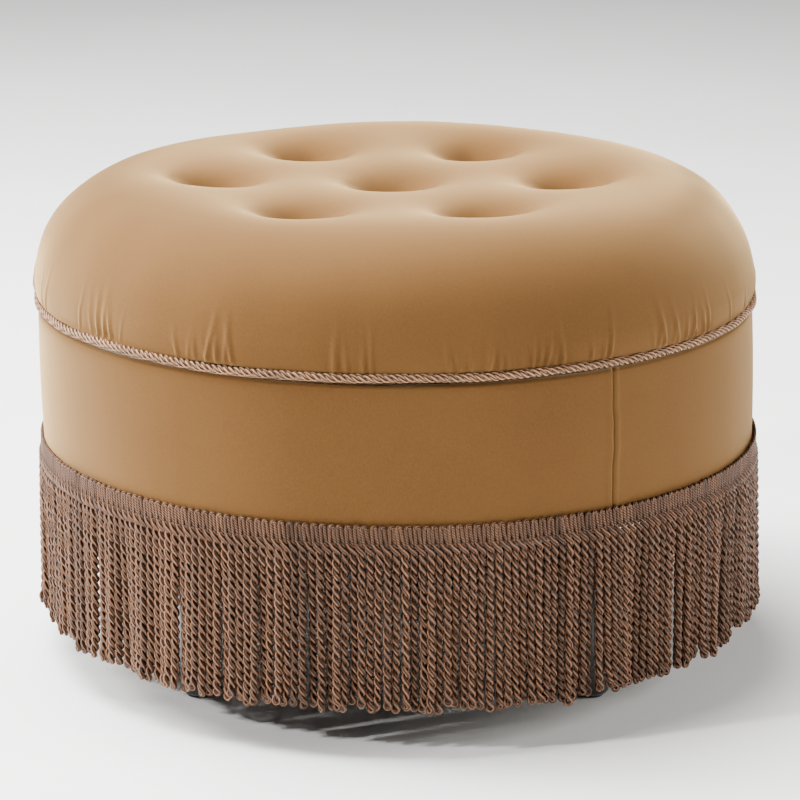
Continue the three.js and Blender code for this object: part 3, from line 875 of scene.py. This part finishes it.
def build_wadding():
    low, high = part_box("drum_padding")
    outer, inner = high.x - 0.0003, high.x - 0.0031
    section = [(inner, low.z), (outer, low.z + 0.0005), (outer, high.z - 0.001), (inner, high.z)]
    section = np.concatenate([resample(section, 0.012), [(inner, (low.z + high.z) / 2)]])
    angles = round_angles(CLOTH_COLUMNS)
    lumps = [smooth_noise(40 + k, CLOTH_COLUMNS, (0.00012, 5, 60)) for k in range(len(section))]
    lumps = np.clip(lumps, -0.0003, 0.0002)
    lumps[np.abs(section[:, 0] - inner) < 0.0002] = 0
    outward = lumps + drum_lean(angles, section[:, 1][:, None])
    piece = shell("drum_wadding", section, angles, WADDING, "base", outward)
    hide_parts("drum_padding")


build_wadding()


# Bullion fringe: every strand is one cord, looped over the header, twisted on itself
# below it, and looped again at its tip.

header_low, header_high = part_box("fringe_header")

STRANDS = 288
SECTIONS = 24
LEG_RADIUS_OUT = 0.30665
HEADER_TOP = header_high.z
HEADER_FOOT = header_low.z
PLY_RADIUS = 0.00198
PLY_LOBES = np.tile([0.9, 1.06], 4)
LEG_PLY_RADIUS = 0.00168
LEG_SPREAD = 0.00165
PLY_OFFSET = 0.00182
TIP_OFFSET = 0.0023
PLY_PACE = 0.06
TWIST_START = HEADER_FOOT + 0.0060
TIP_HEIGHT = 0.0435
TIP_TILT = 0.0015
LOWEST_TIP = 0.0385
TWIST_RINGS = 112
LEG_RINGS = 3
TIP_RINGS = 7
TOP_RINGS = 7
PLY_SIDES = 8
TURN_LENGTH = 0.0150
HEADER_LEAN = 0.0012
TWIST_LEAN = 0.0030
TWIST_LEAN_END = 0.07
LEVELS = 15
STRAND_WIDTH = 0.0065
# how far in or out the strands hang: a share of them behind, the others near
BEHIND_SHARE = 0.16
DEEP, NEAR = (-0.0046, -0.0030), (-0.0014, 0.0022)
DEEPEST = -0.0085


def strand_layout():
    """Sideways and outward drift of every strand at each level, settled so they don't overlap."""
    draw = np.random.default_rng(77)
    pitch = TAU * LEG_RADIUS_OUT / STRANDS
    depth = np.linspace(0, 1, LEVELS)
    loose = eased(depth / 0.6)
    clump = smooth_noise(78, STRANDS, (0.0006, 18, 60))
    own = draw.normal(0, 0.0006, STRANDS)
    sideways = (clump + own)[:, None] * loose
    for wave in (1.5, 2.6):
        phase = draw.uniform(0, TAU, STRANDS)[:, None]
        size = np.abs(draw.normal(0, 0.0003, STRANDS))[:, None]
        sideways = sideways + size * np.sin(wave * TAU * depth + phase) * loose
    behind = draw.random(STRANDS) < BEHIND_SHARE
    deep, near = draw.uniform(*DEEP, STRANDS), draw.uniform(*NEAR, STRANDS)
    outward = np.where(behind, deep, near)[:, None] * np.clip(depth / 0.18, 0, 1)
    flare = 0.0012 + 0.0010 * np.sin(round_angles(STRANDS))
    flare = flare + smooth_noise(79, STRANDS, (0.0012, 2, 7))
    outward = outward + flare[:, None] * depth**1.3
    place = np.stack([sideways, outward], -1)
    for _ in range(80):
        for step in (1, 2, 3):
            gap = np.roll(place, -step, axis=0) - place
            gap[..., 0] += pitch * step
            distance = np.maximum(np.linalg.norm(gap, axis=-1, keepdims=True), 1e-6)
            push = np.clip(STRAND_WIDTH - distance, 0, None) * 0.5 * gap / distance
            push[:, 0] = 0
            place = place - push * 0.5
            place = place + np.roll(push, step, axis=0) * 0.5
        place[:, 1:-1] = 0.5 * place[:, 1:-1] + 0.25 * (place[:, 2:] + place[:, :-2])
        place[:, 0] = 0
        place[..., 1] = np.maximum(place[..., 1], DEEPEST)
    return depth, place


def strand_paths():
    """Closed centre line of every strand's cord, with the outward direction at each point."""
    draw = np.random.default_rng(80)
    depth, place = strand_layout()
    tip = TIP_HEIGHT + draw.normal(0, 0.0017, STRANDS) + smooth_noise(81, STRANDS, (0.0010, 3, 30))
    tip = np.maximum(tip + TIP_TILT * np.cos(round_angles(STRANDS) + math.radians(120)), LOWEST_TIP)
    length = TWIST_START - tip
    halves = np.round(2 * length / TURN_LENGTH * draw.normal(1, 0.045, STRANDS))
    turn = math.pi * halves + draw.uniform(-0.6, 0.6, STRANDS)
    down = np.linspace(0, 1, TWIST_RINGS)
    wound = np.where(down < 0.04, down**2 / 0.08, down - 0.02) / 0.98
    phase = -math.pi / 2 + turn[:, None] * wound
    wiggle = draw.uniform(0, TAU, STRANDS)[:, None]
    phase = phase + 0.35 * np.sin(down * TAU * 1.7 + wiggle) * down * (1 - down) * 4
    end_spread = TIP_OFFSET * draw.uniform(0.85, 1.12, STRANDS)[:, None]
    opening = np.clip((down - 0.955) / 0.045, 0, 1) ** 1.5
    offset = PLY_OFFSET + (end_spread - PLY_OFFSET) * opening
    height = TWIST_START - length[:, None] * down
    at = depth * (len(down) - 1)
    rings = np.arange(len(down))
    side, out = (np.stack([np.interp(rings, at, row) for row in place[..., k]]) for k in (0, 1))
    hook = np.clip((down - 0.86) / 0.14, 0, 1) ** 2
    side = side + HEADER_LEAN + TWIST_LEAN * eased(down / TWIST_LEAN_END)
    side = side + draw.normal(0, 0.0013, STRANDS)[:, None] * hook
    out = out + np.abs(draw.normal(0, 0.0014, STRANDS))[:, None] * hook

    axis = np.stack([out, side, height], -1)
    turning = offset * np.stack([np.cos(phase), np.sin(phase), np.zeros_like(phase)])
    turning = np.moveaxis(turning, 0, -1)
    first, second = axis + turning, axis - turning

    # the loop at the tip
    bend = np.linspace(0, math.pi, TIP_RINGS + 2)[1:-1]
    spread = end_spread * outward_at(phase[:, -1])
    tip_loop = axis[:, -1:] + np.cos(bend)[:, None] * spread[:, None]
    tip_loop[..., 2] -= end_spread * np.sin(bend) * 1.15

    # the straight legs on the tape, and the loop between their tops
    jitter = draw.normal(0, 0.00035, STRANDS)
    top = HEADER_TOP - LEG_PLY_RADIUS - LEG_SPREAD + draw.normal(0, 0.0002, STRANDS)
    rows = np.linspace(0, 1, LEG_RINGS + 1)[:-1]
    leg_height = top[:, None] + (TWIST_START - top[:, None]) * rows
    leg_side = HEADER_LEAN * rows**1.4 + jitter[:, None] * (1 - rows)
    leg = np.stack([np.zeros_like(leg_height), leg_side, leg_height], -1)
    left, right = leg - (0, LEG_SPREAD, 0), leg + (0, LEG_SPREAD, 0)
    bend = np.linspace(0, math.pi, TOP_RINGS + 2)[1:-1]
    loop_side = jitter[:, None] + LEG_SPREAD * np.cos(bend)
    loop_height = top[:, None] + LEG_SPREAD * np.sin(bend) * 1.1
    loop = np.stack([np.zeros_like(loop_side), loop_side, loop_height], -1)

    local = np.concatenate([left, first, tip_loop, second[:, ::-1], right[:, ::-1], loop], 1)
    filled = LEG_PLY_RADIUS + (PLY_RADIUS - LEG_PLY_RADIUS) * np.clip(down / 0.06, 0, 1)
    filled = filled * (1 - 0.1 * opening)
    legs, tips = np.full(LEG_RINGS, LEG_PLY_RADIUS), np.full(TIP_RINGS, filled[-1])
    tops = np.full(TOP_RINGS, LEG_PLY_RADIUS)
    radius = np.concatenate([legs, filled, tips, filled[::-1], legs, tops])
    # the legs and the loops have no twist axis
    leg, tip, top = (np.full((STRANDS, n, 3), np.nan) for n in (LEG_RINGS, TIP_RINGS, TOP_RINGS))
    axis = np.concatenate([leg, axis, tip, axis[:, ::-1], leg, top], 1)
    azimuth = FRONT + (np.arange(STRANDS) + 0.5) * TAU / STRANDS
    outward = outward_at(azimuth)[:, None]
    around = np.cross([0, 0, 1], outward)
    # sideways drift follows the ring, so strands keep their distance from the drum
    swing = local[..., 1:2] / LEG_RADIUS_OUT
    reach = LEG_RADIUS_OUT + local[..., 0:1]
    reach = reach + (FOOT_LEAN * np.sin(azimuth - FRONT))[:, None, None]
    up = np.cos(swing) * outward + np.sin(swing) * around
    paths = reach * up
    paths[..., 2] = local[..., 2]
    inward = axis - local
    inward = inward[..., 0:1] * up + inward[..., 1:2] * np.cross([0, 0, 1], up)
    inward /= np.maximum(np.linalg.norm(inward, axis=-1, keepdims=True), 1e-9)
    return paths, up, np.broadcast_to(radius, paths.shape[:2]), np.nan_to_num(inward)


def build_fringe():
    paths, up, radius, inward = strand_paths()
    draw = np.random.default_rng(90)
    shade = np.clip(0.5 + draw.normal(0, 0.24, STRANDS), 0, 1)
    each = STRANDS // SECTIONS
    pace = np.ones(paths.shape[1])
    pace[LEG_RINGS + 2 : -LEG_RINGS - TOP_RINGS - 2] = PLY_PACE
    for section in range(SECTIONS):
        own = slice(section * each, (section + 1) * each)
        points, quads, uvs = tubes(paths[own], radius[own], PLY_SIDES, up[own], PLY_LOBES, pace)
        # how far each point faces the strand's axis, which sets the painted shade there
        away = points.reshape(each, paths.shape[1], PLY_SIDES, 3) - paths[own][:, :, None]
        facing_axis = np.sum(away * inward[own][:, :, None], -1) / radius[own][:, :, None]
        values = {"shade": np.repeat(shade[own], paths.shape[1] * PLY_SIDES), "painted_axis_shade": facing_axis}
        name = f"fringe_{section + 1:02d}"
        piece = make(name, points, quads, FRINGE, "base", uvs=uvs, values=values)
        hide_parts("fringe_skirt")


build_fringe()


STITCH_STEPS = 10
STITCH_RADIUS = 0.0005


def build_header():
    """The woven tape that carries the strands, and the row of stitches across their legs."""
    inner, outer = BAND_RADIUS + 0.00045, BAND_RADIUS + 0.0010
    low, high = HEADER_FOOT + 0.001, HEADER_TOP - 0.004
    section = resample([(outer, low), (outer, high)], 0.004)
    section = np.concatenate([section, [(inner, high), (inner, low)]])
    angles = round_angles(2 * STRANDS)
    outward = FOOT_LEAN * np.cos(angles) * 0.95
    tape = shell("header_tape", section, angles, TAPE, "base", outward)
    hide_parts("fringe_header")
    at = round_angles(STRANDS * STITCH_STEPS)
    beat = at * STRANDS
    reach = LEG_RADIUS_OUT + LEG_PLY_RADIUS - 0.00025 + 0.0004 * np.cos(beat)
    reach = reach + FOOT_LEAN * np.cos(at)
    up = outward_at(at)
    path = reach[:, None] * up
    path[:, 2] = HEADER_FOOT + 0.0034 - 0.0011 * np.sin(beat)
    points, quads, uvs = tubes(path[None], STITCH_RADIUS, 6, up[None])
    # no painted shade on the stitches
    values = {"shade": np.full(len(points), 0.9), "painted_axis_shade": np.full(len(points), -1.0)}
    make("header_stitches", points, quads, FRINGE, "base", uvs=uvs, values=values)


build_header()


# Legs and glides

LEG_SIDES = 96
for number in range(1, 5):
    low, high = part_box(f"leg_{number}")
    centre = middle(low, high)
    top_radius, foot_radius = (high.x - low.x) / 2, 0.015
    profile = [
        (0, low.z), (foot_radius - 0.0025, low.z), (foot_radius, low.z + 0.0030),
        (top_radius, high.z - 0.002), (top_radius - 0.0015, high.z), (0, high.z),
    ]
    profile = rounded(profile, 0.0018)
    leg = turned(f"turned_leg_{number}", profile, LACQUER, "base", centre, LEG_SIDES)
    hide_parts(f"leg_{number}")
    low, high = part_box(f"glide_{number}")
    reach = (high.x - low.x) / 2
    profile = [(0, low.z), (reach - 0.0012, low.z), (reach, low.z + 0.0012), (reach, high.z), (0, high.z)]
    profile = rounded(profile, 0.0008)
    glide = turned(f"foot_glide_{number}", profile, GLIDE, "base", centre, 48)
    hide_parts(f"glide_{number}")


# Linings


LINING_THICK = 0.0013
CREASES, CREASE_HEIGHT, CREASE_LENGTH = 46, 0.0009, 0.03
DIPS, DIP_DEPTH, DIP_WIDTH, DIP_LENGTH = 26, 0.0004, 0.012, 0.05


def build_well_lining():
    """Cloth over the well's floor and wall, slightly creased on the wall."""
    low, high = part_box("well_lining")
    outer = high.x
    inner = outer - LINING_THICK
    floor = low.z + LINING_THICK
    section = [
        (0, low.z), (outer - 0.006, low.z), (outer, low.z + 0.006), (outer, high.z),
        (inner, high.z), (inner, low.z + 0.0072), (inner - 0.006, floor), (0, floor),
    ]
    section = resample(rounded(section, 0.002, 4), 0.006)
    heights = section[1:-1, 1][:, None]
    creases = np.zeros((len(heights), CLOTH_COLUMNS))
    draw = np.random.default_rng(51)
    for _ in range(CREASES):
        at = draw.uniform(0, TAU)
        lean = draw.uniform(-0.6, 0.6)
        width = draw.uniform(0.006, 0.016)
        above = heights - draw.uniform(low.z + 0.015, high.z - 0.01)
        away = turn_from(at, round_angles(CLOTH_COLUMNS) - lean * above / outer) * outer
        creases += CREASE_HEIGHT * hump(away, width) * hump(above, CREASE_LENGTH)
    wall = (heights > low.z + 0.006) & (heights < high.z - 0.002)
    creases = np.clip(creases * wall, 0, 0.003)
    piece = turned(
        "well_lining_cloth", section, LINING, "base", sides=CLOTH_COLUMNS,
        shift=lambda points: moved_out(points, -creases),
    )
    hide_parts("well_lining")


def build_disc_cloth(name, node, material, body):
    """A round cloth under a board, pushed in slightly here and there from below."""
    low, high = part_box(node)
    reach = high.x
    thick = high.z - low.z
    radii = np.concatenate([[0], np.linspace(0.01, reach - 0.001, 40), [reach]])
    heights = np.full(len(radii), low.z)
    heights[-1] = low.z + thick * 0.5
    section = np.concatenate([np.stack([radii, heights], -1), [(reach - 0.001, high.z), (0, high.z)]])
    dips = np.zeros((len(section) - 2, CLOTH_COLUMNS))
    draw = np.random.default_rng(52 + len(node))
    for _ in range(DIPS):
        at, away = draw.uniform(0, TAU), draw.uniform(0.1, 0.9) * reach
        across = turn_from(at, round_angles(CLOTH_COLUMNS)) * away
        dips += DIP_DEPTH * hump(across, DIP_WIDTH) * hump(section[1:-1, :1] - away, DIP_LENGTH)
    lift = np.clip(dips, 0, thick * 0.5)
    lift[-3:] = 0
    cloth = turned(
        name, section, material, body, sides=CLOTH_COLUMNS,
        shift=lambda points: moved_out(points, 0.0, lift),
    )
    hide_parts(node)


build_well_lining()
build_disc_cloth("lid_lining_cloth", "lid_lining", LINING, "lid")
build_disc_cloth("dust_cloth_sheet", "dust_cover", DUST, "base")


# CAD nodes that stay as they are get their finishes


def dress(material, *names):
    for name in names:
        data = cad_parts[name].data
        data.materials.clear()
        data.materials.append(material)


def numbered(stem, count):
    return [f"{stem}_{k}" for k in range(1, count + 1)]


dress(PLYWOOD, "bottom_panel", "drum_wall", "rim_ring", "lid_board")
dress(STEEL, "hinge_leaf_lower", "hinge_leaf_upper", "hinge_pin", *numbered("leg_plate", 4))
dress(STEEL, *numbered("leg_bolt", 4), *numbered("hinge_screw_lower", 3), *numbered("hinge_screw_upper", 3))
dress(TWINE, *numbered("tuft_twine", 7))


# Studio

FLOOR_REACH = 9.0
AIM = Vector((0, 0, 0.2))
WORLD_STRENGTH = 0.08
WARM, NEUTRAL, WARMER = (1.0, 0.985, 0.96), (1.0, 1.0, 1.0), (1.0, 0.97, 0.92)
# name, place, size, power, tint
LIGHTS = (
    ("hard_left", (-2.6, -1.3, 1.5), 0.2, 108.0, WARM),
    ("soft_left", (-2.9, 0.6, 2.0), 1.2, 180.0, WARM),
    ("top_box", (-0.9, 0.4, 2.9), 2.4, 410.0, NEUTRAL),
    ("fill_right", (2.9, -0.7, 1.3), 1.5, 110.0, WARMER),
)
CAMERA_PLACE = (0, -2.738, 0.955)
CAMERA_DOWN = 15.23
LENS = 147.8
SENSOR = 36.0
LENS_SHIFT = 0.006


def studio():
    ground = bpy.data.meshes.new("floor")
    corners = [(x * FLOOR_REACH, y * FLOOR_REACH, 0) for x, y in ((-1, -1), (1, -1), (1, 1), (-1, 1))]
    ground.from_pydata(corners, [], [(0, 1, 2, 3)])
    floor = new_object("floor", ground)
    f = Finish("floor_white", 0.7, Specular_IOR_Level=0.2)
    f.colour(f.tones(f.noise(2.0, 2.0), 0.4, 0.6, "F6F6F6", "FAFAFA"))
    ground.materials.append(f.material)

    world = bpy.data.worlds.new("studio_world")
    world.use_nodes = True
    back = world.node_tree.nodes["Background"]
    back.inputs["Color"].default_value = (*NEUTRAL, 1.0)
    back.inputs["Strength"].default_value = WORLD_STRENGTH
    bpy.context.scene.world = world

    for name, place, size, power, tint in LIGHTS:
        light = bpy.data.lights.new(name, "AREA")
        light.shape = "DISK"
        light.size = size
        light.energy = power
        light.color = tint
        lamp = new_object(name, light)
        lamp.location = place
        lamp.rotation_euler = (AIM - Vector(place)).to_track_quat("-Z", "Y").to_euler()

    lens = bpy.data.cameras.new("camera")
    lens.lens = LENS
    lens.sensor_width = SENSOR
    lens.shift_x = LENS_SHIFT
    camera = new_object("camera", lens)
    camera.location = CAMERA_PLACE
    camera.rotation_euler = (math.radians(90 - CAMERA_DOWN), 0, 0)
    bpy.context.scene.camera = camera


studio()
